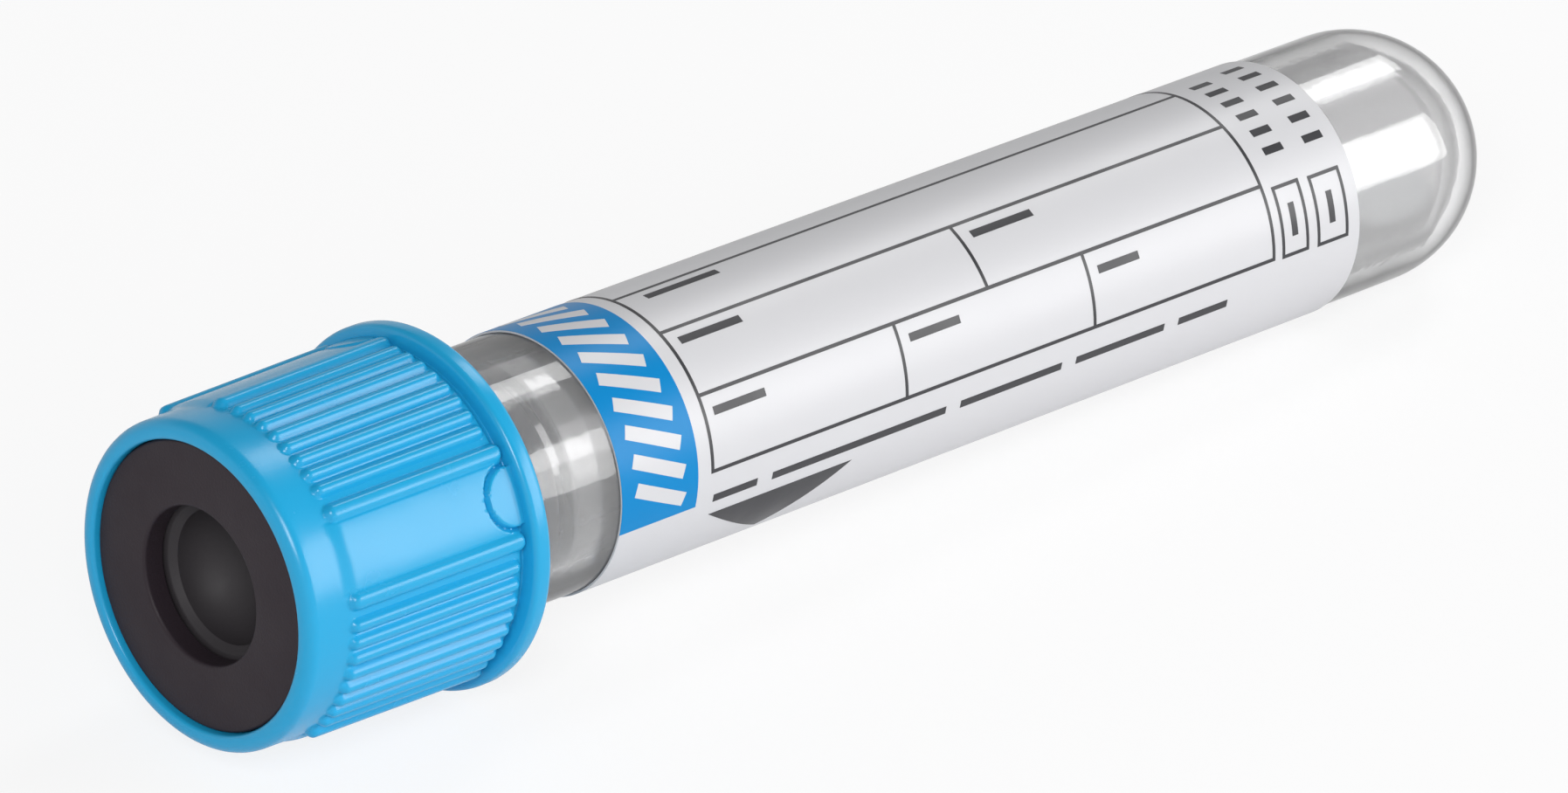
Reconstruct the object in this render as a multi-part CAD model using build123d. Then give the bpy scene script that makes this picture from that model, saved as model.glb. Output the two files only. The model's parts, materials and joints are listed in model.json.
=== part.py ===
from build123d import *
from math import asin, atan2, cos, degrees, hypot, radians, sin, tan
import os

# Evacuated blood collection tube, 13 x 75 mm, double walled, with a ribbed screw-off safety cap.
# Every piece is built along the tube's own axis: X = 0 is the front face of the cap's black ring
# and +X runs to the round end. Angles round the axis run from straight up towards -Y.
# The finished model is then laid down as it rests, on the cap's collar and the round end.
# All sizes are in millimetres.

# ---- outer tube, clear PET ----
tube_r = 6.5                 # 13 mm outside diameter
tube_length = 75.0           # mouth to tip of the round end
tube_wall = 0.9
mouth_depth = 8.5            # mouth of the tube behind the ring's front face
rim_chamfer = 0.2
dome_steps = 4               # cones that make up each hidden dome

# ---- inner tube, PP, slipped into the outer one ----
inner_play = 0.1             # radial gap between the two tubes
inner_wall = 0.75
inner_rim_gap = 0.7          # from the plug's end to the inner tube's rim

# ---- label ----
label_stick = 0.02           # glue line
label_thickness = 0.1
label_start = 20.8
label_length = 50.2
label_seam = 30.0            # bare strip between the label's two edges, degrees
label_seam_at = -120.0       # middle of that strip

# ---- additive: a small pool of citrate solution ----
pool_depth = 2.35            # at its deepest, by the round end
pool_play = 0.02

# ---- black ring in the cap's front ----
ring_hole_r = 3.9
ring_thickness = 1.2
ring_chamfer = 0.12
ring_play = 0.05

# ---- cap shell ----
cap_play = 0.65              # radial, between the tube and the cap's bore
cap_front_wall = 1.0
cap_rear_wall = 1.15         # the wall drafts out slightly towards the collar
lip_height = 0.35            # lip in front of the ring
lip_inner_chamfer = 0.25
lip_outer_bevel = 0.6        # rolled over in two flats
web_thickness = 1.0          # annular web that carries the ring
bead_play = 0.2              # snap bead that draws the stopper's flange along, over the tube
bead_width = 0.4
bead_gap = 0.15              # behind the tube's mouth
groove_start = 12.75         # dark groove between the ribs and the collar
groove_width = 0.3
groove_depth = 0.2
collar_rise = 0.75           # above the wall
collar_width = 1.05
collar_chamfer = 0.3
skirt_chamfer = 0.35

# ---- grip of the cap: four smooth panels with fine ribs between them ----
panels = 4
first_panel = 65.0           # middle of the first panel, degrees
panel_half_angle = 12.6
panel_rise = 0.15            # above the wall
panel_start = 1.8
panel_ramp = 1.0             # slope at the panel's front
ribs_per_bay = 8
rib_pitch = 6.14             # degrees
rib_start = 2.1
rib_end_gap = 0.1            # from the fine ribs to the groove
rib_width = 0.66
rib_rise = 0.25
border_rib_width = 0.9
border_rib_rise = 0.36
border_rib_angle = 15.0      # from the middle of a panel
border_rib_corner = 0.3
rib_flank = 30.0             # slope of the ribs' sides and ends, degrees from upright
half_moon_r = 1.5            # thumb mark at the rear end of each panel
half_moon_height = 0.14

# ---- rubber stopper ----
stopper_play = 0.1           # radial, plug in tube, and axial to the ring and the mouth
neck_r = 4.1
neck_play = 0.3              # radial, in the web's hole
head_r = 5.6
head_gap = 0.2               # behind the web
flange_play = 0.3            # radial, in the cap's bore
flange_thickness = 2.8
plug_length = 9.4
plug_chamfer = 0.5
plug_wall = 2.1              # round the hollow in its underside
well_r = 3.45                # needle well in the front
well_depth = 3.0
well_lip = 0.3
well_floor_r = 1.8
diaphragm = 4.5              # rubber that the needle pierces
recess_chamfer = 1.0


def turned(corners, arc=360.0):
    """Solid of revolution about X from the (x, radius) corners of its section."""
    return revolve(make_face(Polyline(*corners, close=True)), Axis.X, arc)


def round_ended(x_open, x_centre, radius):
    """Solid bar about X from x_open to a hemisphere centred at x_centre, with its seam on top."""
    tip = (x_centre + radius, 0)
    middle = (x_centre + radius * cos(radians(45)), radius * sin(radians(45)))
    sides = Polyline((x_centre, radius), (x_open, radius), (x_open, 0), tip)
    dome = ThreePointArc(tip, middle, (x_centre, radius))
    return revolve(Plane.XZ * make_face([*sides.edges(), dome.edge()]), Axis.X, 360)


def step_ended(x_open, x_centre, radius):
    """The same bar with its dome in even conical steps, for the walls that no one sees."""
    turns = [radians(90 * step / dome_steps) for step in range(dome_steps + 1)]
    dome = [(x_centre + radius * sin(turn), radius * cos(turn)) for turn in turns]
    return turned([(x_open, 0), (x_open, radius), *dome])


def break_rim(tube, edge):
    """Chamfer both edges of a tube's open end."""
    return chamfer(tube.edges().group_by(Axis.X)[0], edge)


def at_angle(shape, angle):
    """Turn a shape that stands straight up to an angle from up towards -Y."""
    return Rot(X=angle) * shape


def sector(corners, middle, half_angle):
    """Part of a solid of revolution, spread evenly about the angle middle."""
    return at_angle(turned(corners, 2 * half_angle), middle - half_angle + 90)


# ---- places along the axis, from the sizes above ----
dome_centre = mouth_depth + tube_length - tube_r
web_back = ring_thickness + web_thickness
flange_back = mouth_depth - stopper_play
flange_front = flange_back - flange_thickness
plug_end = flange_back + plug_length
bead_start = mouth_depth + bead_gap
collar_start = groove_start + groove_width
cap_end = collar_start + collar_width

# ---- radii that follow from the sizes above ----
inner_tube_r = tube_r - tube_wall - inner_play
plug_r = tube_r - tube_wall - stopper_play
cap_bore_r = tube_r + cap_play
bead_r = tube_r + bead_play
ring_r = cap_bore_r
ring_seat_r = ring_r + ring_play
flange_r = cap_bore_r - flange_play
cap_front_r = cap_bore_r + cap_front_wall
cap_rear_r = cap_bore_r + cap_rear_wall
panel_r = cap_rear_r + panel_rise
collar_r = cap_rear_r + collar_rise
web_hole_r = neck_r + neck_play
mid_wall_r = (cap_bore_r + cap_front_r) / 2


def make_outer_tube():
    hollow = step_ended(mouth_depth - tube_wall, dome_centre, tube_r - tube_wall)
    return break_rim(round_ended(mouth_depth, dome_centre, tube_r) - hollow, rim_chamfer)


def make_inner_tube():
    rim = plug_end + inner_rim_gap
    hollow = step_ended(rim - inner_wall, dome_centre, inner_tube_r - inner_wall)
    return break_rim(step_ended(rim, dome_centre, inner_tube_r) - hollow, rim_chamfer)


def make_label():
    low = tube_r + label_stick
    high = low + label_thickness
    end = label_start + label_length
    corners = [(label_start, low), (end, low), (end, high), (label_start, high)]
    return sector(corners, label_seam_at + 180, 180 - label_seam / 2)


def make_ring():
    corners = [
        (ring_chamfer, ring_hole_r),
        (0, ring_hole_r + ring_chamfer),
        (0, ring_r - ring_chamfer),
        (ring_chamfer, ring_r),
        (ring_thickness, ring_r),
        (ring_thickness, ring_hole_r),
    ]
    return turned(corners)


def make_cap_body():
    """The turned form: lip, web, wall, snap bead, groove and collar."""
    lip_cut = lip_outer_bevel * (1 - cos(radians(45)))
    corners = [
        (ring_thickness, ring_seat_r),
        (lip_inner_chamfer - lip_height, ring_seat_r),
        (-lip_height, ring_seat_r + lip_inner_chamfer),
        (-lip_height, cap_front_r - lip_outer_bevel),
        (lip_cut - lip_height, cap_front_r - lip_cut),
        (lip_outer_bevel - lip_height, cap_front_r),
        (groove_start, cap_rear_r),
        (groove_start, cap_rear_r - groove_depth),
        (collar_start, cap_rear_r - groove_depth),
        (collar_start, collar_r - collar_chamfer),
        (collar_start + collar_chamfer, collar_r),
        (cap_end - collar_chamfer, collar_r),
        (cap_end, collar_r - collar_chamfer),
        (cap_end, cap_bore_r + skirt_chamfer),
        (cap_end - skirt_chamfer, cap_bore_r),
        (bead_start + bead_width, cap_bore_r),
        (bead_start + bead_width, bead_r),
        (bead_start, bead_r),
        (bead_start, cap_bore_r),
        (web_back, cap_bore_r),
        (web_back, web_hole_r),
        (ring_thickness, web_hole_r),
    ]
    return turned(corners)


def make_rib(width, rise, end, corner=0.0):
    """Rib with sloped sides and ends, rooted in the wall, standing straight up."""
    root = cap_rear_r - mid_wall_r
    spread = tan(radians(rib_flank))
    plan = Rectangle(end - rib_start + 2 * root * spread, width + 2 * root * spread)
    if corner:
        plan = chamfer(plan.vertices(), corner)
    ridge = extrude(plan, root + rise, taper=rib_flank)
    return Pos((rib_start + end) / 2, 0, mid_wall_r) * ridge


def make_panel(middle):
    """Smooth thumb panel between two bays of ribs, sloping up from the shoulder."""
    corners = [
        (panel_start, mid_wall_r),
        (panel_start, cap_front_r),
        (panel_start + panel_ramp, panel_r),
        (groove_start, panel_r),
        (groove_start, mid_wall_r),
    ]
    return sector(corners, middle, panel_half_angle)


def make_half_moon():
    """Raised half disc that ends at the groove, standing straight up."""
    top = panel_r + half_moon_height
    front = groove_start - half_moon_r
    disc = Pos(groove_start, 0, mid_wall_r) * Cylinder(
        half_moon_r, top, align=(Align.CENTER, Align.CENTER, Align.MIN))
    skin = turned([(front, mid_wall_r), (groove_start, mid_wall_r), (groove_start, top), (front, top)])
    return disc & skin


def make_cap_shell():
    """Turned body with its grip: thumb panels, their border ribs and the fine ribs between them."""
    fine_rib = make_rib(rib_width, rib_rise, groove_start - rib_end_gap)
    border_rib = make_rib(border_rib_width, border_rib_rise, collar_start, border_rib_corner)
    half_moon = make_half_moon()
    bay = 360.0 / panels
    grip = []
    for panel in range(panels):
        middle = first_panel + panel * bay
        grip += [make_panel(middle), at_angle(half_moon, middle)]
        grip += [at_angle(border_rib, middle + side * border_rib_angle) for side in (-1, 1)]
        first_rib = middle + bay / 2 - rib_pitch * (ribs_per_bay - 1) / 2
        grip += [at_angle(fine_rib, first_rib + rib * rib_pitch) for rib in range(ribs_per_bay)]
    return make_cap_body() + grip


def make_stopper():
    """Head with a needle well, flange on the tube's mouth and a hollow plug in its bore."""
    front = ring_thickness + stopper_play
    well_floor = front + well_depth
    well_edge = front + well_lip
    recess_end = well_floor + diaphragm
    head_front = web_back + head_gap
    recess_r = plug_r - plug_wall
    corners = [
        (well_floor, 0),
        (well_floor, well_floor_r),
        (well_edge, well_r),
        (front, well_r + well_lip),
        (front, neck_r),
        (head_front, neck_r),
        (head_front, head_r),
        (flange_front, head_r),
        (flange_front, flange_r),
        (flange_back, flange_r),
        (flange_back, plug_r),
        (plug_end - plug_chamfer, plug_r),
        (plug_end, plug_r - plug_chamfer),
        (plug_end, recess_r),
        (recess_end + recess_chamfer, recess_r),
        (recess_end, recess_r - recess_chamfer),
        (recess_end, 0),
    ]
    return turned(corners)


# ---- at rest: tipped about Y until the collar and the round end touch the same level ----
collar_to_dome = dome_centre - (cap_end - collar_chamfer)
centre_line = hypot(collar_to_dome, collar_r)
rest_tilt = degrees(atan2(collar_r, collar_to_dome) - asin(tube_r / centre_line))
tipped = Rot(Y=rest_tilt)

pieces = {
    "outer_tube": make_outer_tube(),
    "inner_tube": make_inner_tube(),
    "label": make_label(),
    "cap_shell": make_cap_shell(),
    "cap_ring": make_ring(),
    "stopper": make_stopper(),
}
tipped_pieces = {name: tipped * piece for name, piece in pieces.items()}
boxes = [piece.bounding_box() for piece in tipped_pieces.values()]
low_x = min(box.min.X for box in boxes)
high_x = max(box.max.X for box in boxes)
low_z = min(box.min.Z for box in boxes)
to_origin = Pos(-(low_x + high_x) / 2, 0, -low_z)
placed = {name: to_origin * piece for name, piece in tipped_pieces.items()}


def make_pool():
    """Liquid lying in the lowest part of the inner tube, with a level surface."""
    hollow = step_ended(plug_end + 2 * inner_rim_gap, dome_centre, inner_tube_r - inner_wall - pool_play)
    lying = to_origin * tipped * hollow
    bottom = lying.bounding_box().min.Z
    below = Pos(0, 0, bottom) * Box(
        4 * tube_length, 4 * tube_r, pool_depth, align=(Align.CENTER, Align.CENTER, Align.MIN))
    return lying & below


placed["citrate_solution"] = make_pool()

os.makedirs("parts", exist_ok=True)
for name, piece in placed.items():
    export_step(piece, f"parts/{name}.step")

axis_start = (to_origin * tipped).position
pool_surface = placed["citrate_solution"].bounding_box().max.Z
print(f"rest tilt {rest_tilt:.3f} degrees, overall length {high_x - low_x:.2f}")
print(f"axis passes {axis_start.X:.4f}, {axis_start.Y:.4f}, {axis_start.Z:.4f} at the ring's face")
print(f"axis direction {cos(radians(rest_tilt)):.6f}, 0, {-sin(radians(rest_tilt)):.6f}")
print(f"pool surface at {pool_surface:.3f}, {placed['citrate_solution'].volume / 1000:.3f} ml")
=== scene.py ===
"""Evacuated blood collection tube with a ribbed safety cap: the finish of every piece.

Each piece is modelled on the bench, in millimetres, along the tube's own axis: X = 0 is the front
face of the black ring and +X runs to the round end. Angles round the axis run from straight up
towards -Y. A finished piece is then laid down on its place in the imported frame.
"""
import json
from math import atan2, cos, degrees, hypot, pi, radians, sin, tan

import bpy
from bpy.props import FloatProperty, FloatVectorProperty, IntProperty, PointerProperty
from mathutils import Matrix, Vector


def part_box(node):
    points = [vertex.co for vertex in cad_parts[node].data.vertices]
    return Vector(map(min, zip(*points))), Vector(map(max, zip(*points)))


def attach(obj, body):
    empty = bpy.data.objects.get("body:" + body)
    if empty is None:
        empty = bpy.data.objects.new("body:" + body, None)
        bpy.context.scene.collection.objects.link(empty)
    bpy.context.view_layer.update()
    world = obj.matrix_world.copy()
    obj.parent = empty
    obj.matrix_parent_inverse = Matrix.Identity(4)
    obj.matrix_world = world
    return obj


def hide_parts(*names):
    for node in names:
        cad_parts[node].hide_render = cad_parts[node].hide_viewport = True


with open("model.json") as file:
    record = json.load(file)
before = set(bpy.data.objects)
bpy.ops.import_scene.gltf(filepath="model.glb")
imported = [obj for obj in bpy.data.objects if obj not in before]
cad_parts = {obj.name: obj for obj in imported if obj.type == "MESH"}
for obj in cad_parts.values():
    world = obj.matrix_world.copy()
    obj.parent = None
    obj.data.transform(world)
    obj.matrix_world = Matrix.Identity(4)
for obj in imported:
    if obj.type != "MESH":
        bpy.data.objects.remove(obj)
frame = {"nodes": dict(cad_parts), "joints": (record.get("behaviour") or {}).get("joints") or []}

bl_info = {
    "name": "Blood collection tube",
    "version": (1, 0, 0),
    "blender": (4, 5, 0),
    "location": "3D View > Sidebar > Sample tube",
    "description": "Double-walled sample tube with a label, a rubber stopper and a ribbed cap",
    "category": "Object",
}

MM = 0.001
WELD = 0.0005            # points of a section nearer than this are one
DOME_STEPS = 24          # steps of a quarter circle
WHITE = 1.0              # strength at which a background is plain white

# ---- the tube's axis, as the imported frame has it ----
CAP_TURN = next(joint for joint in frame["joints"] if joint["name"] == "cap_turn")
AXIS = -Vector(CAP_TURN["axis"])
RING_FACE = Vector(CAP_TURN["pos_m"])
DIP = Matrix.Rotation(atan2(-AXIS.z, AXIS.x), 4, "Y")
LAY = Matrix.Translation(RING_FACE) @ DIP @ Matrix.Scale(MM, 4)
BENCH = LAY.inverted()


class Reach:
    """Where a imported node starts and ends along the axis, and its least and greatest radius."""

    def __init__(self, node):
        points = [BENCH @ vertex.co for vertex in frame["nodes"][node].data.vertices]
        radii = [hypot(point.y, point.z) for point in points]
        self.start = min(point.x for point in points)
        self.end = max(point.x for point in points)
        self.hole = min(radii)
        self.radius = max(radii)


TUBE = Reach("outer_tube")
LINER = Reach("inner_tube")
LABEL = Reach("label")
RING = Reach("cap_ring")
CAP = Reach("cap_shell")
STOPPER = Reach("stopper")
POOL_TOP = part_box("citrate_solution")[1].z


# ---- sizes and colours that a user would change ----
def size(name, about, default, least=0.01, most=200.0):
    return FloatProperty(name=name, description=about + ", mm", default=default, min=least, max=most)


def angle(name, about, default):
    return FloatProperty(name=name, description=about, default=radians(default), subtype="ANGLE")


def colour(name, about, default):
    return FloatVectorProperty(
        name=name, description=about, default=default, size=3, min=0.0, max=1.0, subtype="COLOR")


class TubeSizes(bpy.types.PropertyGroup):
    wall: size("Wall", "Wall of the outer tube", 0.9)
    liner_wall: size("Liner wall", "Wall of the inner tube", 0.75)
    rim_round: size("Rim round", "Round on the rims of both tubes", 0.2)
    thread_rise: size("Thread rise", "Height of the thread webs on the neck", 0.42)
    thread_width: size("Thread width", "Width of a thread web", 0.75)
    thread_lead: size("Thread lead", "Advance of the cap in one turn", 8.0)
    thread_start: size("Thread start", "First thread web behind the tube's mouth", 1.3)
    thread_arc: angle("Thread arc", "How far round one thread web runs", 62)
    thread_starts: IntProperty(name="Thread starts", description="Number of thread webs", default=4, min=1)
    clear: colour("Clear plastic", "Tint of the outer tube", (0.965, 0.965, 0.97))
    cloudy: colour("Cloudy plastic", "Tint of the inner tube", (0.95, 0.945, 0.95))
    liquid: colour("Solution", "Tint of the additive", (0.93, 0.97, 0.98))


class LabelSizes(bpy.types.PropertyGroup):
    line: size("Line", "Width of the printed lines", 0.19)
    mark: size("Mark", "Height of the bars that stand for words", 0.42)
    band_start: size("Band start", "Start of the blue band along the tube", 20.8)
    band_end: size("Band end", "End of the blue band along the tube", 25.75)
    first_edge: angle("First edge", "Upper edge of the bare seam at the back, from straight up", -105)
    last_edge: angle("Last edge", "Lower edge of that seam, the long way round from straight up", 225)
    film: colour("Film", "White of the label", (0.66, 0.66, 0.68))
    blue: colour("Band", "Blue of the band", (0.0, 0.235, 0.57))
    ink: colour("Ink", "Printed lines and marks", (0.035, 0.035, 0.04))


class CapSizes(bpy.types.PropertyGroup):
    web: size("Web", "Wall that carries the black ring", 1.0)
    web_hole: size("Web hole", "Radius of the hole for the stopper's neck", 4.4)
    bore: size("Bore", "Radius inside the cap", 7.15)
    front_radius: size("Front radius", "Outside radius at the lip", 8.15)
    rear_radius: size("Rear radius", "Outside radius at the groove", 8.3)
    lip_round: size("Lip round", "Round on the outside of the lip", 0.62)
    bead_start: size("Bead start", "Front of the bead that draws the stopper", 8.65)
    bead_width: size("Bead width", "Width of that bead", 0.4)
    bead_radius: size("Bead radius", "Inside radius of that bead", 6.7)
    groove_start: size("Groove start", "Start of the groove in front of the collar", 12.75)
    groove_width: size("Groove width", "Width of that groove", 0.3)
    groove_depth: size("Groove depth", "Depth of that groove", 0.2)
    first_panel: angle("First panel", "Middle of the first thumb panel, from straight up", 65)
    panel_half: angle("Panel half angle", "Half of the angle that a thumb panel takes", 12.6)
    panel_start: size("Panel start", "Front end of a thumb panel", 1.75)
    panel_rise: size("Panel rise", "Height of a thumb panel above the wall", 0.15)
    panels: IntProperty(name="Panels", description="Number of thumb panels", default=4, min=1)
    ribs: IntProperty(name="Ribs", description="Fine ribs between two panels", default=8, min=1)
    rib_pitch: angle("Rib pitch", "Angle from one fine rib to the next", 6.14)
    rib_start: size("Rib start", "Front end of the ribs", 2.1)
    rib_width: size("Rib width", "Width of a fine rib", 0.72)
    rib_rise: size("Rib rise", "Height of a fine rib", 0.32)
    border_angle: angle("Border rib angle", "From the middle of a panel to its border ribs", 15)
    border_width: size("Border rib width", "Width of a border rib", 0.95)
    border_rise: size("Border rib rise", "Height of a border rib", 0.38)
    moon_radius: size("Half-moon radius", "Thumb mark at the rear end of a panel", 1.5)
    moon_rise: size("Half-moon rise", "Height of a thumb mark above its panel", 0.05)
    moon_groove: size("Half-moon groove", "Depth of the groove round a thumb mark", 0.3)
    blue: colour("Blue", "Colour of the cap shell", (0.016, 0.385, 0.7))
    black: colour("Black", "Colour of the ring", (0.028, 0.020, 0.026))


class StopperSizes(bpy.types.PropertyGroup):
    neck: size("Neck radius", "Front of the stopper, inside the ring's seat", 4.17)
    head: size("Head radius", "Stopper behind the cap's web", 5.6)
    plug: size("Plug radius", "Plug in the tube's bore", 5.5)
    flange: size("Flange thickness", "Flange on the tube's mouth", 2.8)
    well: size("Well radius", "Needle well in the front", 3.45)
    well_depth: size("Well depth", "Depth of the needle well", 3.0)
    recess: size("Recess radius", "Hollow in the plug's underside", 3.4)
    well_rim: size("Well rim", "From the front to where the well's round starts", 0.3)
    diaphragm: size("Diaphragm", "Rubber that the needle pierces", 4.5)
    neck_end: size("Neck end", "Back of the neck, behind the cap's web", 2.4)
    plug_length: size("Plug length", "From the flange to the plug's end", 9.4)
    waist_start: size("Waist start", "From the plug's end to the front of its waist", 6.2)
    waist_end: size("Waist end", "From the plug's end to the back of its waist", 3.2)
    waist_depth: size("Waist depth", "Depth of the plug's waist", 0.12)
    rubber: colour("Rubber", "Colour of the stopper", (0.036, 0.032, 0.036))


class StageSizes(bpy.types.PropertyGroup):
    floor: size("Floor", "Side of the floor", 4000.0, most=20000.0)
    distance: size("Distance", "From the camera to the ring's face", 603.8, most=5000.0)
    lens: size("Lens", "Focal length of the camera", 297.3, most=1000.0)


# ---- modelling on the bench ----
def begin():
    """Object mode, with nothing selected."""
    if bpy.context.mode != "OBJECT":
        bpy.ops.object.mode_set(mode="OBJECT")
    bpy.ops.object.select_all(action="DESELECT")


def edit(piece):
    """Edit mode on one piece, with all of it selected."""
    begin()
    piece.select_set(True)
    bpy.context.view_layer.objects.active = piece
    bpy.ops.object.mode_set(mode="EDIT")
    bpy.ops.mesh.select_all(action="SELECT")


def named(name):
    """Name the object that was just added, and its mesh."""
    piece = bpy.context.object
    piece.name = name
    piece.data.name = name
    return piece


def draw(name, section, around=0.0):
    """Wire through the (x, radius) points of a section that stands at an angle from straight up."""
    begin()
    bpy.ops.mesh.primitive_plane_add()
    piece = named(name)
    edit(piece)
    bpy.ops.mesh.merge(type="CENTER")
    out = Vector((0, -sin(around), cos(around)))
    x, radius = section[0]
    bpy.ops.transform.translate(value=Vector((x, 0, 0)) + out * radius)
    for next_x, next_radius in section[1:]:
        step = Vector((next_x - x, 0, 0)) + out * (next_radius - radius)
        bpy.ops.mesh.extrude_region_move(TRANSFORM_OT_translate={"value": step})
        x, radius = next_x, next_radius
    return piece


def close_up():
    """Weld what meets and turn all faces outwards, in edit mode."""
    bpy.ops.mesh.select_all(action="SELECT")
    bpy.ops.mesh.remove_doubles(threshold=WELD)
    bpy.ops.mesh.normals_make_consistent(inside=False)


def turn(name, section, steps=180, start=0.0, arc=2 * pi):
    """Piece turned from a section whose ends meet or lie on the axis, over an arc from its start."""
    piece = draw(name, section, start)
    bpy.ops.mesh.select_all(action="SELECT")
    bpy.ops.mesh.spin(steps=steps, angle=-arc, center=(0, 0, 0), axis=(1, 0, 0))
    close_up()
    begin()
    return piece


def copy_round(piece, count):
    """Repeat a piece that fills one part of the circle until it fills the whole."""
    edit(piece)
    for _ in range(count - 1):
        bpy.ops.mesh.duplicate()
        bpy.ops.transform.rotate(
            value=2 * pi / count, orient_axis="X", orient_type="GLOBAL", center_override=(0, 0, 0))
    close_up()
    begin()


def rounded(corners, steps=6):
    """Points of a section whose (x, radius, round) corners are rounded off."""
    points = []
    for here, (x, radius, fillet) in enumerate(corners):
        corner = Vector((x, radius))
        if not fillet or here in (0, len(corners) - 1):
            points.append((x, radius))
            continue
        back = (Vector(corners[here - 1][:2]) - corner).normalized()
        ahead = (Vector(corners[here + 1][:2]) - corner).normalized()
        half = back.angle(ahead) / 2
        middle = corner + (back + ahead).normalized() * fillet / sin(half)
        first = corner + back * fillet / tan(half)
        start = first - middle
        sweep = start.angle_signed(corner + ahead * (first - corner).length - middle)
        for step in range(steps + 1):
            spoke = start.copy()
            spoke.rotate(Matrix.Rotation(-sweep * step / steps, 2))
            points.append(tuple(middle + spoke))
    return points


def dome(centre, radius):
    """Quarter circle from the wall to the tip."""
    turns = [pi / 2 * step / DOME_STEPS for step in range(DOME_STEPS + 1)]
    return [(centre + radius * sin(a), radius * cos(a)) for a in turns]


def modify(piece, kind, **values):
    """Give a piece one modifier with these values, and apply it."""
    begin()
    piece.select_set(True)
    bpy.context.view_layer.objects.active = piece
    bpy.ops.object.modifier_add(type=kind)
    modifier = piece.modifiers[-1]
    for name, value in values.items():
        setattr(modifier, name, value)
    bpy.ops.object.modifier_apply(modifier=modifier.name)


def lay_down(piece, body, node, finish, crease=35.0):
    """Smooth the piece, put it in its place in the frame and hand it over."""
    begin()
    piece.select_set(True)
    bpy.context.view_layer.objects.active = piece
    bpy.ops.object.shade_smooth_by_angle(angle=radians(crease))
    piece.matrix_world = LAY
    bpy.ops.object.transform_apply(location=True, rotation=True, scale=True)
    piece.data.materials.clear()
    piece.data.materials.append(bpy.data.materials["finish_" + finish])
    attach(piece, body)
    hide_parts(node)


# ---- shader effects that several materials share ----
def new_group(name, inputs, outputs):
    """Empty shader group with named float inputs and outputs."""
    group = bpy.data.node_groups.new(name, "ShaderNodeTree")
    for label, default in inputs:
        socket = group.interface.new_socket(label, in_out="INPUT", socket_type="NodeSocketFloat")
        socket.default_value = default
    for label in outputs:
        group.interface.new_socket(label, in_out="OUTPUT", socket_type="NodeSocketFloat")
    return group, group.nodes.new("NodeGroupInput"), group.nodes.new("NodeGroupOutput")


def moulded_grain():
    """Fine grain of a moulded surface, as a height and a roughness that vary over it."""
    group, given, made = new_group(
        "moulded_grain",
        [("Grain Size", 0.15), ("Roughness", 0.3), ("Variation", 0.06)],
        ["Height", "Roughness"])
    nodes, links = group.nodes, group.links
    place = nodes.new("ShaderNodeTexCoord")
    scale = nodes.new("ShaderNodeMath")
    scale.operation = "DIVIDE"
    scale.inputs[0].default_value = 1 / MM
    fine = nodes.new("ShaderNodeTexNoise")
    fine.inputs["Detail"].default_value = 3.0
    broad = nodes.new("ShaderNodeTexNoise")
    broad.inputs["Scale"].default_value = 400.0
    broad.inputs["Detail"].default_value = 4.0
    spread = nodes.new("ShaderNodeMapRange")
    spread.inputs["From Min"].default_value = 0.3
    spread.inputs["From Max"].default_value = 0.7
    low = nodes.new("ShaderNodeMath")
    low.operation = "SUBTRACT"
    high = nodes.new("ShaderNodeMath")
    high.operation = "ADD"
    links.new(given.outputs["Grain Size"], scale.inputs[1])
    links.new(place.outputs["Object"], fine.inputs["Vector"])
    links.new(scale.outputs[0], fine.inputs["Scale"])
    links.new(place.outputs["Object"], broad.inputs["Vector"])
    for limit in (low, high):
        links.new(given.outputs["Roughness"], limit.inputs[0])
        links.new(given.outputs["Variation"], limit.inputs[1])
    links.new(broad.outputs["Fac"], spread.inputs["Value"])
    links.new(low.outputs[0], spread.inputs["To Min"])
    links.new(high.outputs[0], spread.inputs["To Max"])
    links.new(fine.outputs["Fac"], made.inputs["Height"])
    links.new(spread.outputs["Result"], made.inputs["Roughness"])
    return group


def plastic(name, tint, grain, roughness, variation, grain_size, depth, **sockets):
    """Principled material whose roughness and bump come from the moulded grain."""
    material = bpy.data.materials.new("finish_" + name)
    material.use_nodes = True
    nodes, links = material.node_tree.nodes, material.node_tree.links
    shader = nodes["Principled BSDF"]
    shader.inputs["Base Color"].default_value = (*tint, 1)
    for socket, value in sockets.items():
        shader.inputs[socket.replace("_", " ")].default_value = value
    effect = nodes.new("ShaderNodeGroup")
    effect.node_tree = grain
    effect.inputs["Grain Size"].default_value = grain_size
    effect.inputs["Roughness"].default_value = roughness
    effect.inputs["Variation"].default_value = variation
    bump = nodes.new("ShaderNodeBump")
    bump.inputs["Distance"].default_value = depth * MM
    links.new(effect.outputs["Height"], bump.inputs["Height"])
    links.new(effect.outputs["Roughness"], shader.inputs["Roughness"])
    links.new(bump.outputs["Normal"], shader.inputs["Normal"])
    return material


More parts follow.
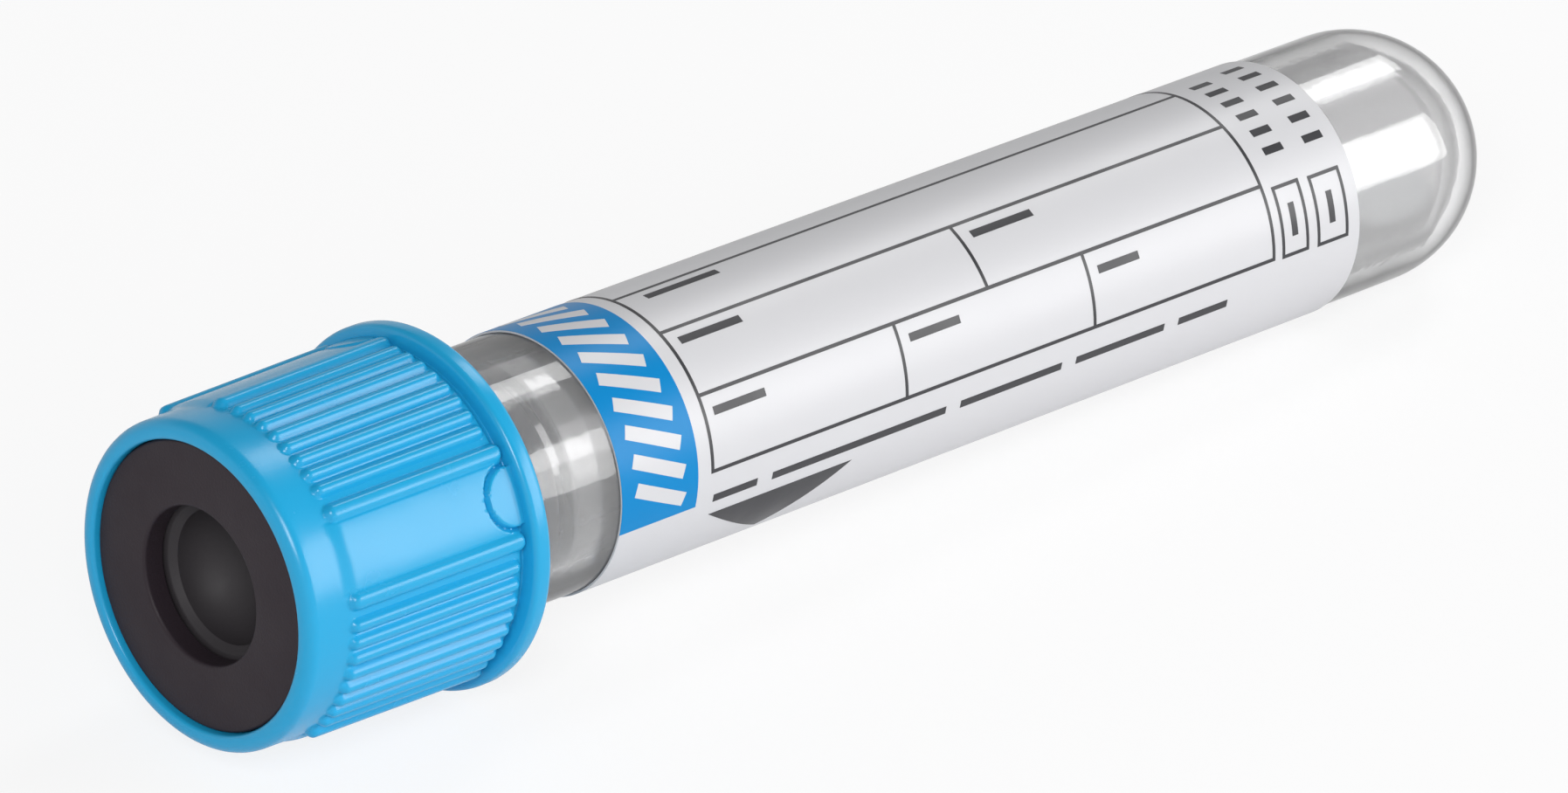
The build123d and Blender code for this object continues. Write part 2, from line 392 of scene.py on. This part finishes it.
def paint_edge_shade(material, tint, edge, start=0.5, full=0.75):
    """Painted shade: clear plastic's colour darkens where its wall is seen at a glancing angle, drawing dark
    outlines in place of the dark reflections along its edges.
    """
    nodes, links = material.node_tree.nodes, material.node_tree.links
    glance = nodes.new("ShaderNodeLayerWeight")
    glance.inputs["Blend"].default_value = 0.5
    ramp = nodes.new("ShaderNodeMapRange")
    ramp.inputs["From Min"].default_value = start
    ramp.inputs["From Max"].default_value = full
    mix = nodes.new("ShaderNodeMix")
    mix.data_type = "RGBA"
    mix.inputs["A"].default_value = (*tint, 1)
    mix.inputs["B"].default_value = (*(edge * channel for channel in tint), 1)
    links.new(glance.outputs["Facing"], ramp.inputs["Value"])
    links.new(ramp.outputs["Result"], mix.inputs["Factor"])
    links.new(mix.outputs["Result"], nodes["Principled BSDF"].inputs["Base Color"])


def paint():
    """All materials of the tube, by the record's slot or the print's name."""
    scene = bpy.context.scene
    tube, label, cap, stopper = scene.tube_sizes, scene.label_sizes, scene.cap_sizes, scene.stopper_sizes
    grain = moulded_grain()
    clear = plastic(
        "clear_tube", tube.clear, grain, roughness=0.08, variation=0.02, grain_size=2.0, depth=0.02,
        Transmission_Weight=0.88, IOR=1.55)
    cloudy = plastic(
        "clear_liner", tube.cloudy, grain, roughness=0.11, variation=0.03, grain_size=1.5, depth=0.02,
        Transmission_Weight=0.84, IOR=1.49)
    # painted shade: both clear tubes darken towards their edge-on outlines, for dark contours
    paint_edge_shade(clear, tube.clear, 0.05)
    paint_edge_shade(cloudy, tube.cloudy, 0.08)
    plastic(
        "solution", tube.liquid, grain, roughness=0.02, variation=0.01, grain_size=3.0, depth=0.01,
        Transmission_Weight=1.0, IOR=1.34)
    plastic("label_paper", label.film, grain, roughness=0.38, variation=0.02, grain_size=0.6, depth=0.002)
    plastic(
        "label_blue", label.blue, grain, roughness=0.36, variation=0.02, grain_size=0.6, depth=0.002,
        Specular_IOR_Level=0.2)
    plastic("label_ink", label.ink, grain, roughness=0.4, variation=0.05, grain_size=0.3, depth=0.004)
    plastic(
        "cap_blue", cap.blue, grain, roughness=0.24, variation=0.04, grain_size=0.3, depth=0.0015,
        Specular_IOR_Level=0.4)
    plastic(
        "ring_black", cap.black, grain, roughness=0.5, variation=0.06, grain_size=0.12, depth=0.012,
        Specular_IOR_Level=0.25)
    plastic(
        "stopper_rubber", stopper.rubber, grain, roughness=0.62, variation=0.05, grain_size=0.2, depth=0.004,
        Specular_IOR_Level=0.4)


class PIECE_OT_materials(bpy.types.Operator):
    """Make the materials of all the pieces"""
    bl_idname = "sample_tube.materials"
    bl_label = "Materials"

    def execute(self, context):
        paint()
        return {"FINISHED"}


# ---- the two tubes and the additive ----
def tube_section(start, tip, radius, wall, rim_round):
    """Section of a round-ended tube, from its tip over the rim to the bottom of its hollow."""
    centre = tip - radius
    rim = rounded(
        [(centre, radius, 0), (start, radius, rim_round), (start, radius - wall, rim_round),
         (centre, radius - wall, 0)])
    return dome(centre, radius)[::-1][:-1] + rim + dome(centre, radius - wall)[1:]


def thread_web(name, start, width, radius, rise, lead, arc, around):
    """One web of a thread, swept round the axis from a section that tapers to its crest."""
    taper = 0.28 * width
    end, crest = start + width, radius + rise
    foot = (start, radius)
    piece = draw(name, [foot, (end, radius), (end - taper, crest), (start + taper, crest), foot], around)
    close_up()
    begin()
    modify(piece, "SCREW", axis="X", angle=arc, screw_offset=lead * arc / (2 * pi), steps=48, render_steps=48)
    edit(piece)
    bpy.ops.mesh.select_all(action="DESELECT")
    bpy.ops.mesh.select_non_manifold()
    bpy.ops.mesh.fill_holes(sides=0)
    close_up()
    begin()
    return piece


class PIECE_OT_outer_tube(bpy.types.Operator):
    """Turn the clear outer tube, with the thread webs on its neck"""
    bl_idname = "sample_tube.outer_tube"
    bl_label = "Outer tube"

    def execute(self, context):
        sizes = context.scene.tube_sizes
        section = tube_section(TUBE.start, TUBE.end, TUBE.radius, sizes.wall, sizes.rim_round)
        tube = turn("clear_outer_tube", section)
        sunk = 0.03          # the foot of a web is let into the wall by this much
        for web in range(sizes.thread_starts):
            around = 2 * pi * web / sizes.thread_starts
            piece = thread_web(
                "web", TUBE.start + sizes.thread_start, sizes.thread_width, TUBE.radius - sunk,
                sizes.thread_rise + sunk, sizes.thread_lead, sizes.thread_arc, around)
            modify(tube, "BOOLEAN", operation="UNION", solver="EXACT", object=piece)
            bpy.data.objects.remove(piece)
        lay_down(tube, "tube", "outer_tube", "clear_tube")
        return {"FINISHED"}


class PIECE_OT_inner_tube(bpy.types.Operator):
    """Turn the inner tube that lines the outer one"""
    bl_idname = "sample_tube.inner_tube"
    bl_label = "Inner tube"

    def execute(self, context):
        sizes = context.scene.tube_sizes
        section = tube_section(LINER.start, LINER.end, LINER.radius, sizes.liner_wall, sizes.rim_round)
        liner = turn("clear_inner_tube", section)
        lay_down(liner, "tube", "inner_tube", "clear_liner")
        return {"FINISHED"}


class PIECE_OT_solution(bpy.types.Operator):
    """Fill the lowest part of the inner tube with the additive, up to a level surface"""
    bl_idname = "sample_tube.solution"
    bl_label = "Citrate solution"

    def execute(self, context):
        sizes = context.scene.tube_sizes
        wetting = 0.03       # the pool reaches this far into the wall, so that no air shows between them
        wetted = LINER.radius - sizes.liner_wall + wetting
        centre = LINER.end - LINER.radius
        section = [(LINER.start, 0), (LINER.start, wetted), *dome(centre, wetted)]
        pool = turn("citrate_pool", section)
        edit(pool)
        level = (BENCH.to_3x3() @ Vector((0, 0, 1))).normalized()     # bisect needs a normal of length 1
        surface = BENCH @ Vector((RING_FACE.x, 0, POOL_TOP))
        bpy.ops.mesh.bisect(plane_co=surface, plane_no=level, use_fill=True, clear_outer=True)
        close_up()
        lay_down(pool, "tube", "citrate_solution", "solution")
        return {"FINISHED"}


# ---- the label: places in millimetres behind the ring's face, angles in degrees from straight up ----
BAND_AROUND = (-100, 102.5)
BAND_BARS = 10                                # plain slanted bars across the band
BAR_FIRST, BAR_PITCH, BAR_HALF, BAR_SLANT = 90, 12.5, 3.1, 24
BAR_REACH = (21.6, 25.0)
FORM_ENDS = (26.7, 64.9)
FORM_ROWS = (-36, -5.5, 24.0, 55.5, 88.3)
DIVIDERS = ((46.0, 2), (39.6, 3), (52.4, 3))  # each is a place and the row below which it stands
WORDS = (                                     # bars in place of words: start, end and angle
    (28.2, 32.9, 1.0), (27.4, 31.4, 30.5), (46.8, 50.9, 31), (27.3, 30.7, 63.5), (40.3, 43.7, 63.5),
    (53.1, 55.9, 64.5), (26.9, 29.8, 101.5), (30.8, 42.4, 101.5), (43.4, 50.3, 101.5),
    (51.3, 57.4, 101.5), (58.4, 61.8, 101.5))
TICKS = 6                                     # in each column: its reach, first angle and pitch follow
TICK_COLUMNS = (((66.1, 67.4), -6, 9.6), ((68.8, 70.1), -10, 10.6))
BOXES = (((65.6, 67.3), (58.3, 89)), ((68.1, 70.1), (59.2, 89.5)))
BOX_MARK, BOX_MARGIN = 0.2, 8                 # half width of a box's mark, and the angle that it stays off
ARROW_MIDDLE, ARROW_WIDTH, ARROW_AROUND = 31.6, 9.5, (109.8, 137.2)
ARROW_THICK, ARROW_SUNK = 0.032, 0.004
LINE_LIFT, CROSS_LIFT, BAR_LIFT = 0.012, 0.0125, 0.02     # of crossing lines, one stands a little higher


def along_z(around, radius):
    """Height on the flat sheet of an angle round the tube: the sheet is bent about the angle of -Y."""
    return radius * (pi / 2 - around)


def flat_sheet(name):
    """Empty mesh to which flat shapes are added, in edit mode."""
    begin()
    bpy.ops.mesh.primitive_plane_add()
    piece = named(name)
    edit(piece)
    bpy.ops.mesh.delete(type="VERT")
    return piece


def add_bar(radius, x, around, lift, sink=0.02, slant=0.0):
    """Flat bar that spans x along the tube and the angles round it, and stands off the sheet by its lift."""
    low, high = sorted(along_z(radians(a), radius) for a in around)
    bpy.ops.mesh.primitive_cube_add(
        size=1, location=(sum(x) / 2, (sink - lift) / 2, (low + high) / 2), rotation=(0, slant, 0),
        scale=(x[1] - x[0], sink + lift, high - low))


def bend(piece, radius, step=radians(2.5)):
    """Cut the flat sheet into narrow strips and wrap it round the tube."""
    edit(piece)
    piece.update_from_editmode()
    heights = [vertex.co.z for vertex in piece.data.vertices]
    low, high = min(heights), max(heights)
    cuts = int((high - low) / (radius * step))
    for cut in range(1, cuts + 1):
        bpy.ops.mesh.select_all(action="SELECT")
        bpy.ops.mesh.bisect(plane_co=(0, 0, low + (high - low) * cut / (cuts + 1)), plane_no=(0, 0, 1))
    begin()
    modify(piece, "SIMPLE_DEFORM", deform_method="BEND", deform_axis="X", angle=(high - low) / radius)
    edit(piece)
    bpy.ops.transform.translate(value=(0, -radius, 0))
    bpy.ops.mesh.normals_make_consistent(inside=False)
    begin()


class PIECE_OT_label(bpy.types.Operator):
    """Wrap the white film round the tube"""
    bl_idname = "sample_tube.label"
    bl_label = "Label"

    def execute(self, context):
        sizes = context.scene.label_sizes
        sheet = flat_sheet("label_film")
        edges = (degrees(sizes.first_edge), degrees(sizes.last_edge))
        add_bar(LABEL.hole, (LABEL.start, LABEL.end), edges, LABEL.radius - LABEL.hole, 0)
        bend(sheet, LABEL.hole)
        lay_down(sheet, "tube", "label", "label_paper")
        return {"FINISHED"}


class PIECE_OT_print(bpy.types.Operator):
    """Print the label: the blue band with plain bars, the form, and simple marks in place of words"""
    bl_idname = "sample_tube.label_print"
    bl_label = "Label print"

    def execute(self, context):
        self.sizes = context.scene.label_sizes
        self.print_piece("label_band", "label_blue", self.draw_band)
        self.print_piece("label_band_bars", "label_paper", self.draw_bars)
        self.print_piece("label_form", "label_ink", self.draw_form)
        return {"FINISHED"}

    def print_piece(self, name, finish, draw_on):
        """Draw one colour of the print on a flat sheet, and wrap it round the label."""
        sheet = flat_sheet(name)
        draw_on()
        bend(sheet, LABEL.radius)
        lay_down(sheet, "tube", "label", finish)

    def draw_band(self):
        sizes = self.sizes
        add_bar(LABEL.radius, (sizes.band_start, sizes.band_end), BAND_AROUND, LINE_LIFT)

    def draw_bars(self):
        """Slanted bars on the band, from its front over the top."""
        for bar in range(BAND_BARS):
            middle = BAR_FIRST - BAR_PITCH * bar
            around = (middle - BAR_HALF, middle + BAR_HALF)
            add_bar(LABEL.radius, BAR_REACH, around, BAR_LIFT, slant=radians(BAR_SLANT))

    def draw_form(self):
        """Lines of the form, bars in place of its words, ticks, two boxes and the arrow mark."""
        for row in FORM_ROWS:
            self.line_along(FORM_ENDS, row)
        for x in FORM_ENDS:
            self.line_across(x, (FORM_ROWS[0], FORM_ROWS[-1]), CROSS_LIFT)
        for x, row in DIVIDERS:
            self.line_across(x, FORM_ROWS[row:row + 2], CROSS_LIFT)
        for start, end, row in WORDS:
            self.mark_along((start, end), row)
        for tick in range(TICKS):
            for x, first, pitch in TICK_COLUMNS:
                self.mark_along(x, first + pitch * tick)
        for x, around in BOXES:
            self.draw_box(x, around)
        self.draw_arrow()

    def line_along(self, x, row, lift=LINE_LIFT):
        """Line along the tube, at an angle, that ends half a line past both places."""
        half = self.sizes.line / 2
        turned = degrees(half / LABEL.radius)
        add_bar(LABEL.radius, (x[0] - half, x[1] + half), (row - turned, row + turned), lift)

    def line_across(self, x, around, lift):
        """Line round the tube, at one place and between two angles."""
        half = self.sizes.line / 2
        add_bar(LABEL.radius, (x - half, x + half), around, lift)

    def mark_along(self, x, row):
        """Broad bar along the tube, at an angle."""
        turned = degrees(self.sizes.mark / LABEL.radius) / 2
        add_bar(LABEL.radius, x, (row - turned, row + turned), LINE_LIFT)

    def draw_box(self, x, around):
        """Box with one mark in it."""
        for side in x:
            self.line_across(side, around, LINE_LIFT)
        for side in around:
            self.line_along(x, side, CROSS_LIFT)
        middle = sum(x) / 2
        add_bar(LABEL.radius, (middle - BOX_MARK, middle + BOX_MARK),
                (around[0] + BOX_MARGIN, around[1] - BOX_MARGIN), LINE_LIFT)

    def draw_arrow(self):
        """Dark triangle that points round the tube: its base runs along it."""
        base, tip = (along_z(radians(around), LABEL.radius) for around in ARROW_AROUND)
        drop = base - tip
        bpy.ops.mesh.primitive_cylinder_add(
            vertices=3, radius=1, depth=ARROW_THICK, rotation=(-pi / 2, 0, 0),
            location=(ARROW_MIDDLE, ARROW_SUNK, base - drop / 3),
            scale=(ARROW_WIDTH / (2 * cos(radians(30))), drop / 1.5, 1))


# ---- the stopper ----
class PIECE_OT_stopper(bpy.types.Operator):
    """Turn the rubber stopper, with its needle well and the hollow in its plug"""
    bl_idname = "sample_tube.stopper"
    bl_label = "Stopper"

    def execute(self, context):
        sizes = context.scene.stopper_sizes
        front, end = STOPPER.start, STOPPER.end
        floor = front + sizes.well_depth
        rim = front + sizes.well_rim
        mouth = sizes.well - 0.1
        slant = 0.2
        slopes = [pi / 2 * step / 20 for step in range(21)]
        bowl = [(floor - (floor - rim) * (1 - cos(a)), mouth * sin(a)) for a in slopes]
        flange_back = end - sizes.plug_length
        flange_front = flange_back - sizes.flange
        recess = floor + sizes.diaphragm
        waist = sizes.plug - sizes.waist_depth
        section = bowl[:-1] + rounded([
            (*bowl[-1], 0),
            (front, sizes.well + 0.25, 0.2),
            (front, sizes.neck, 0.1),
            (sizes.neck_end, sizes.neck, 0.2),
            (sizes.neck_end, sizes.head, 0.2),
            (flange_front, sizes.head, 0.2),
            (flange_front, STOPPER.radius, 0.25),
            (flange_back, STOPPER.radius, 0.25),
            (flange_back, sizes.plug, 0.1),
            (end - sizes.waist_start, sizes.plug, 0.1),
            (end - sizes.waist_start + slant, waist, 0.1),
            (end - sizes.waist_end - slant, waist, 0.1),
            (end - sizes.waist_end, sizes.plug, 0.1),
            (end, sizes.plug, 0.55),
            (end, sizes.recess, 0.3),
            (recess, sizes.recess, 1.2),
            (recess, 0, 0)])
        stopper = turn("rubber_stopper", section)
        lay_down(stopper, "stopper", "stopper", "stopper_rubber")
        return {"FINISHED"}


# ---- the cap ----
BAY_STEPS = 200          # columns of the mesh from the middle of one bay to the next
GRIP_START = 1.5         # nothing is raised in front of this
RIB_GAP = 0.1            # from the fine ribs to the groove
BORDER_FULL, FINE_FULL = 3, 2.4     # power of a rib's section: higher is fuller


class PIECE_OT_ring(bpy.types.Operator):
    """Turn the black ring in the cap's front"""
    bl_idname = "sample_tube.ring"
    bl_label = "Black ring"

    def execute(self, context):
        section = rounded([
            (RING.end, (RING.hole + RING.radius) / 2, 0),
            (RING.end, RING.radius, 0.1),
            (RING.start, RING.radius, 0.15),
            (RING.start, RING.hole, 0.18),
            (RING.end, RING.hole, 0.1),
            (RING.end, (RING.hole + RING.radius) / 2, 0)])
        ring = turn("black_ring", section)
        lay_down(ring, "cap", "cap_ring", "ring_black")
        return {"FINISHED"}


def smooth_max(a, b, blend):
    """The greater of two heights, with a small hollow fillet where they meet."""
    near = max(0.0, 1 - abs(a - b) / blend)
    return max(a, b) + blend / 4 * near * near


class PIECE_OT_cap(bpy.types.Operator):
    """Turn the cap shell and raise its grip: thumb panels, border ribs and fine ribs"""
    bl_idname = "sample_tube.cap"
    bl_label = "Cap shell"

    def execute(self, context):
        sizes = context.scene.cap_sizes
        self.sizes = sizes
        self.groove_end = sizes.groove_start + sizes.groove_width
        bay = 2 * pi / sizes.panels
        cap = turn("cap_shell_blue", self.section(), BAY_STEPS, sizes.first_panel - bay / 2, bay)
        self.raise_grip(cap)
        copy_round(cap, sizes.panels)
        lay_down(cap, "cap", "cap_shell", "cap_blue", crease=40)
        return {"FINISHED"}

    def wall(self, x):
        """Radius of the drafted wall."""
        sizes = self.sizes
        share = (x - CAP.start) / (sizes.groove_start - CAP.start)
        return sizes.front_radius + share * (sizes.rear_radius - sizes.front_radius)

    def section(self):
        """Lip, wall with close rows where the grip starts and ends, groove, collar, bore, bead and web."""
        sizes = self.sizes
        seat = RING.radius + 0.05
        shoulder = CAP.start + sizes.lip_round
        web_back = RING.end + sizes.web
        bead_back = sizes.bead_start + sizes.bead_width
        close = 0.09         # from one row of the mesh to the next, where the grip starts and ends
        rows = [0.6, 1.0, 1.4]
        rows += [1.7 + close * step for step in range(14)]
        rows += [3.4, 4.4, 5.5, 6.6, 7.7, 8.8, 9.9, 10.7]
        rows += [11.0 + close * step for step in range(20)]
        wall = [(x, self.wall(x)) for x in rows if shoulder < x < sizes.groove_start]
        lip = rounded([
            (RING.end, seat, 0),
            (CAP.start, seat, 0.22),
            (CAP.start, sizes.front_radius, sizes.lip_round),
            (wall[0][0], wall[0][1], 0)], 7)[:-1]
        floor = sizes.rear_radius - sizes.groove_depth
        rear = rounded([
            (wall[-1][0], wall[-1][1], 0),
            (sizes.groove_start, sizes.rear_radius, 0.06),
            (sizes.groove_start, floor, 0.05),
            (self.groove_end, floor, 0.05),
            (self.groove_end, CAP.radius, 0.3),
            (CAP.end, CAP.radius, 0.3),
            (CAP.end, sizes.bore, 0.35),
            (bead_back, sizes.bore, 0),
            (bead_back, sizes.bead_radius, 0.1),
            (sizes.bead_start, sizes.bead_radius, 0.1),
            (sizes.bead_start, sizes.bore, 0),
            (web_back, sizes.bore, 0.3),
            (web_back, sizes.web_hole, 0.1),
            (RING.end, sizes.web_hole, 0.1),
            (RING.end, seat, 0)], 4)[1:]
        return lip + wall + rear

    def bay_ribs(self):
        """Arc, half width, rise, rear end and fullness of each rib of one bay, from its panel's middle."""
        sizes = self.sizes
        ribs = [(sizes.border_angle, sizes.border_width, sizes.border_rise, self.groove_end, BORDER_FULL)]
        first = pi / sizes.panels - sizes.rib_pitch * (sizes.ribs - 1) / 2
        for rib in range(sizes.ribs // 2):
            ribs.append((first + sizes.rib_pitch * rib, sizes.rib_width, sizes.rib_rise,
                         sizes.groove_start - RIB_GAP, FINE_FULL))
        foot = 0.03          # a rib's fillet adds this to each side
        return [(side * sizes.rear_radius * middle, width / 2 + foot, rise, end, power)
                for middle, width, rise, end, power in ribs for side in (-1, 1)]

    def grip(self, x, around, ribs):
        """Height of the grip above the wall, in one bay: the angle is from the middle of its panel."""
        sizes = self.sizes
        arc = sizes.rear_radius * around
        edge, step_width, groove_half = 0.15, 0.1, 0.14
        ramp = min(1.0, max(0.0, x - sizes.panel_start))
        inside = min(1.0, max(0.0, (sizes.rear_radius * sizes.panel_half - abs(arc)) / edge))
        height = sizes.panel_rise * ramp * ramp * (3 - 2 * ramp) * inside
        past_moon = hypot(x - sizes.groove_start, arc) - sizes.moon_radius
        if past_moon < 2 * groove_half:
            height += sizes.moon_rise * min(1.0, max(0.0, -past_moon / step_width))
            height -= sizes.moon_groove * max(0.0, 1 - abs(past_moon - groove_half / 2) / groove_half)
        for middle, reach, rise, end, power in ribs:
            off = abs(arc - middle)
            if off < reach:
                past = max(0.0, sizes.rib_start + reach - x, x - end + reach)
                share = hypot(past, off) / reach
                if share < 1:
                    height = smooth_max(height, rise * (1 - share ** power), 0.06)
        return height

    def raise_grip(self, cap):
        """Move each point of the wall out to the height of the grip there."""
        sizes = self.sizes
        ribs = self.bay_ribs()
        near = 0.001
        panel_top = sizes.panel_rise + 0.02
        floor = sizes.rear_radius - sizes.groove_depth - 0.01
        for vertex in cap.data.vertices:
            x, y, z = vertex.co
            radius = hypot(y, z)
            if not GRIP_START < x < self.groove_end + near or radius < floor:
                continue
            height = self.grip(x, atan2(-y, z) - sizes.first_panel, ribs)
            in_groove = x >= sizes.groove_start - near
            if abs(height) <= near or in_groove and height <= panel_top:
                continue
            target = self.wall(min(x, sizes.groove_start)) + height
            grown = max(target, radius) if in_groove else target
            vertex.co.y *= grown / radius
            vertex.co.z *= grown / radius


# ---- stage: places in millimetres from the frame's origin ----
LAMPS = (                # name, place, sides and power of each soft box
    ("top_softbox", (260, 60, 330), (110, 220), 0.35),
    ("key_softbox", (-330, -280, 300), (160, 160), 1.15),
    ("side_softbox", (300, -380, 130), (330, 280), 1.35),
)
LAMP_TARGET = (0, 0, 8)                # the middle of the tube
CAMERA_TURN, CAMERA_PITCH = 43.63, 26.47    # degrees: its heading from +Y towards +X, and its tilt downwards
RING_IN_VIEW = (-27.27, -8.862)        # the ring's face from the middle of the view, to the right and up
FLOOR_SHARES = (0.8, 0.95, 0.3)        # white that is seen by the camera, through clear walls and mirrored
WORLD_SHARES = (1.0, 0.7, 0.05)
FLOOR_WHITE = 1.04
HORIZON, CEILING = 0.75, 0.08          # strength of the studio's light low down and overhead
HORIZON_TOP, CEILING_EDGE = 0.2, 0.7   # where one starts to fade and the other is reached, up from level


def area_lamp(name, place, size_xy, power, target):
    """Soft box at a place, that faces a target."""
    lamp = bpy.data.lights.new(name, "AREA")
    lamp.shape = "RECTANGLE"
    lamp.size, lamp.size_y = size_xy[0] * MM, size_xy[1] * MM
    lamp.energy = power
    box = bpy.data.objects.new(name, lamp)
    bpy.context.scene.collection.objects.link(box)
    box.location = Vector(place) * MM
    box.rotation_euler = (Vector(target) * MM - box.location).to_track_quat("-Z", "Y").to_euler()


def seen_share(nodes, links, shares):
    """Share of plain white, by the kind of ray: from the camera, through clear walls or mirrored."""
    path = nodes.new("ShaderNodeLightPath")
    total = None
    for ray, share in zip(("Is Camera Ray", "Is Transmission Ray", "Is Glossy Ray"), shares):
        add = nodes.new("ShaderNodeMath")
        add.operation = "MULTIPLY_ADD"
        add.inputs[1].default_value = share
        add.inputs[2].default_value = 0.0
        links.new(path.outputs[ray], add.inputs[0])
        if total:
            links.new(total, add.inputs[2])
        total = add.outputs[0]
    return total


class STAGE_OT_build(bpy.types.Operator):
    """Floor, background, lamps and camera"""
    bl_idname = "sample_tube.stage"
    bl_label = "Stage"

    def execute(self, context):
        sizes = context.scene.stage_sizes
        self.build_floor(sizes)
        self.build_world(context.scene)
        self.build_lamps()
        self.build_camera(context.scene, sizes)
        context.scene.view_settings.view_transform = "Standard"
        return {"FINISHED"}

    def build_floor(self, sizes):
        begin()
        bpy.ops.mesh.primitive_plane_add(size=sizes.floor * MM)
        floor = named("floor")
        material = bpy.data.materials.new("pale_floor")
        material.use_nodes = True
        nodes, links = material.node_tree.nodes, material.node_tree.links
        shader = nodes["Principled BSDF"]
        shader.inputs["Base Color"].default_value = (0.92, 0.92, 0.93, 1)
        shader.inputs["Roughness"].default_value = 0.9
        shader.inputs["Specular IOR Level"].default_value = 0.1
        glow = nodes.new("ShaderNodeEmission")
        glow.inputs["Color"].default_value = (1, 1, 1, 1)
        glow.inputs["Strength"].default_value = FLOOR_WHITE
        mix = nodes.new("ShaderNodeMixShader")
        links.new(seen_share(nodes, links, FLOOR_SHARES), mix.inputs["Fac"])
        links.new(shader.outputs[0], mix.inputs[1])
        links.new(glow.outputs[0], mix.inputs[2])
        links.new(mix.outputs[0], nodes["Material Output"].inputs["Surface"])
        floor.data.materials.append(material)

    def build_world(self, scene):
        """White behind the object; for all else pale at the horizon and dim overhead, as in a studio."""
        world = bpy.data.worlds.new("studio")
        scene.world = world
        world.use_nodes = True
        nodes, links = world.node_tree.nodes, world.node_tree.links
        light = nodes["Background"]
        light.inputs["Color"].default_value = (1, 1, 1, 1)
        way = nodes.new("ShaderNodeTexCoord")
        split = nodes.new("ShaderNodeSeparateXYZ")
        ceiling = nodes.new("ShaderNodeMapRange")
        ceiling.interpolation_type = "SMOOTHSTEP"
        ceiling.inputs["From Min"].default_value = HORIZON_TOP
        ceiling.inputs["From Max"].default_value = CEILING_EDGE
        ceiling.inputs["To Min"].default_value = HORIZON
        ceiling.inputs["To Max"].default_value = CEILING
        links.new(way.outputs["Generated"], split.inputs[0])
        links.new(split.outputs["Z"], ceiling.inputs["Value"])
        links.new(ceiling.outputs["Result"], light.inputs["Strength"])
        backdrop = nodes.new("ShaderNodeBackground")
        backdrop.inputs["Color"].default_value = (1, 1, 1, 1)
        backdrop.inputs["Strength"].default_value = WHITE
        mix = nodes.new("ShaderNodeMixShader")
        links.new(seen_share(nodes, links, WORLD_SHARES), mix.inputs["Fac"])
        links.new(light.outputs[0], mix.inputs[1])
        links.new(backdrop.outputs[0], mix.inputs[2])
        links.new(mix.outputs[0], nodes["World Output"].inputs["Surface"])

    def build_lamps(self):
        for name, place, size_xy, power in LAMPS:
            area_lamp(name, place, size_xy, power, LAMP_TARGET)

    def build_camera(self, scene, sizes):
        turned, pitch = radians(CAMERA_TURN), radians(CAMERA_PITCH)
        level = Vector((sin(turned), cos(turned), 0))
        right = Vector((cos(turned), -sin(turned), 0))
        forward = level * cos(pitch) - Vector((0, 0, sin(pitch)))
        up = right.cross(forward)
        lens = bpy.data.cameras.new("camera")
        lens.lens = sizes.lens
        lens.sensor_width = 36
        lens.clip_end = 10
        camera = bpy.data.objects.new("camera", lens)
        scene.collection.objects.link(camera)
        offset = (right * RING_IN_VIEW[0] + up * RING_IN_VIEW[1] + forward * sizes.distance) * MM
        place = Matrix((right, up, -forward)).transposed().to_4x4()
        place.translation = RING_FACE - offset
        camera.matrix_world = place
        scene.camera = camera


class TUBE_PT_panel(bpy.types.Panel):
    """Lists every piece of the tube"""
    bl_idname = "TUBE_PT_panel"
    bl_label = "Blood collection tube"
    bl_space_type = "VIEW_3D"
    bl_region_type = "UI"
    bl_category = "Sample tube"

    def draw(self, context):
        for operator in OPERATORS:
            self.layout.operator(operator.bl_idname)
        for group in GROUPS:
            self.layout.label(text=group)
            settings = getattr(context.scene, group)
            for name in settings.__annotations__:
                self.layout.prop(settings, name)


GROUPS = {
    "tube_sizes": TubeSizes,
    "label_sizes": LabelSizes,
    "cap_sizes": CapSizes,
    "stopper_sizes": StopperSizes,
    "stage_sizes": StageSizes,
}
OPERATORS = [
    PIECE_OT_materials,
    PIECE_OT_outer_tube,
    PIECE_OT_inner_tube,
    PIECE_OT_solution,
    PIECE_OT_label,
    PIECE_OT_print,
    PIECE_OT_stopper,
    PIECE_OT_ring,
    PIECE_OT_cap,
    STAGE_OT_build,
]


def register():
    for name, group in GROUPS.items():
        bpy.utils.register_class(group)
        setattr(bpy.types.Scene, name, PointerProperty(type=group))
    for operator in OPERATORS:
        bpy.utils.register_class(operator)
    bpy.utils.register_class(TUBE_PT_panel)


def unregister():
    bpy.utils.unregister_class(TUBE_PT_panel)
    for operator in reversed(OPERATORS):
        bpy.utils.unregister_class(operator)
    for name, group in reversed(GROUPS.items()):
        delattr(bpy.types.Scene, name)
        bpy.utils.unregister_class(group)


def main():
    register()
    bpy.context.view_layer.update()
    bpy.ops.sample_tube.materials()
    bpy.ops.sample_tube.outer_tube()
    bpy.ops.sample_tube.inner_tube()
    bpy.ops.sample_tube.solution()
    bpy.ops.sample_tube.label()
    bpy.ops.sample_tube.label_print()
    bpy.ops.sample_tube.stopper()
    bpy.ops.sample_tube.ring()
    bpy.ops.sample_tube.cap()
    bpy.ops.sample_tube.stage()


if __name__ == "__main__":
    main()
